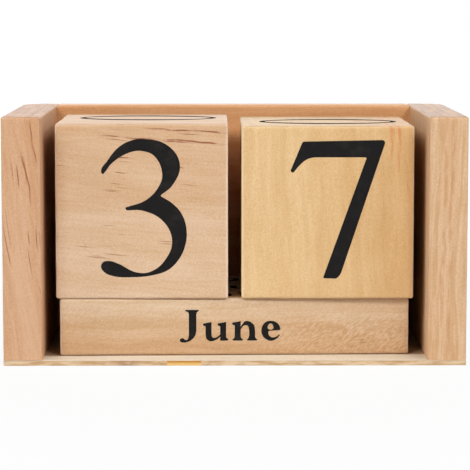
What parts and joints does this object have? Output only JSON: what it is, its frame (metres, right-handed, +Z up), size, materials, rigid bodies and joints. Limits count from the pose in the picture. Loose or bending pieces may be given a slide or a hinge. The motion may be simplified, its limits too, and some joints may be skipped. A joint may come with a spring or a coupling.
{
  "type": "perpetual calendar",
  "caption": "Desk perpetual calendar: an open wooden tray with lift-out date cubes standing on loose square month bars that draw out at the front.",
  "frame": {"origin": "middle of the tray's underside", "axes": "+X along the tray to the right as seen from the front, -Y out of the open front, +Z up"},
  "size_m": [0.12, 0.068, 0.0645],
  "materials": {
    "pine_boards": "sanded bare pine",
    "plywood": "bare thin plywood",
    "cube_wood": "sanded bare softwood",
    "bar_wood": "sanded bare softwood",
    "brad_steel": "bright drawn wire",
    "ink": "matt black printed ink"
  },
  "bodies": {
    "tray": {"left_end_board": "pine_boards", "right_end_board": "pine_boards", "back_panel": "pine_boards", "base_panel": "plywood", "base_brads": "brad_steel"},
    "left_cube": {"left_date_cube": "cube_wood"},
    "right_cube": {"right_date_cube": "cube_wood"},
    "rear_bar": {"month_bar_rear": "bar_wood"},
    "middle_bar": {"month_bar_middle": "bar_wood"},
    "front_bar": {"month_bar_front": "bar_wood"}
  },
  "joints": [
    {"name": "left_cube_lift", "type": "slide", "parent": "tray", "child": "left_cube", "axis": [0, 0, 1], "range_m": [0, 0.055]},
    {"name": "right_cube_lift", "type": "slide", "parent": "tray", "child": "right_cube", "axis": [0, 0, 1], "range_m": [0, 0.055]},
    {"name": "rear_bar_slide", "type": "slide", "parent": "tray", "child": "rear_bar", "axis": [0, -1, 0], "range_m": [0, 0.06]},
    {"name": "middle_bar_slide", "type": "slide", "parent": "rear_bar", "child": "middle_bar", "axis": [0, -1, 0], "range_m": [0, 0.045]},
    {"name": "front_bar_slide", "type": "slide", "parent": "middle_bar", "child": "front_bar", "axis": [0, -1, 0], "range_m": [0, 0.03]}
  ]
}
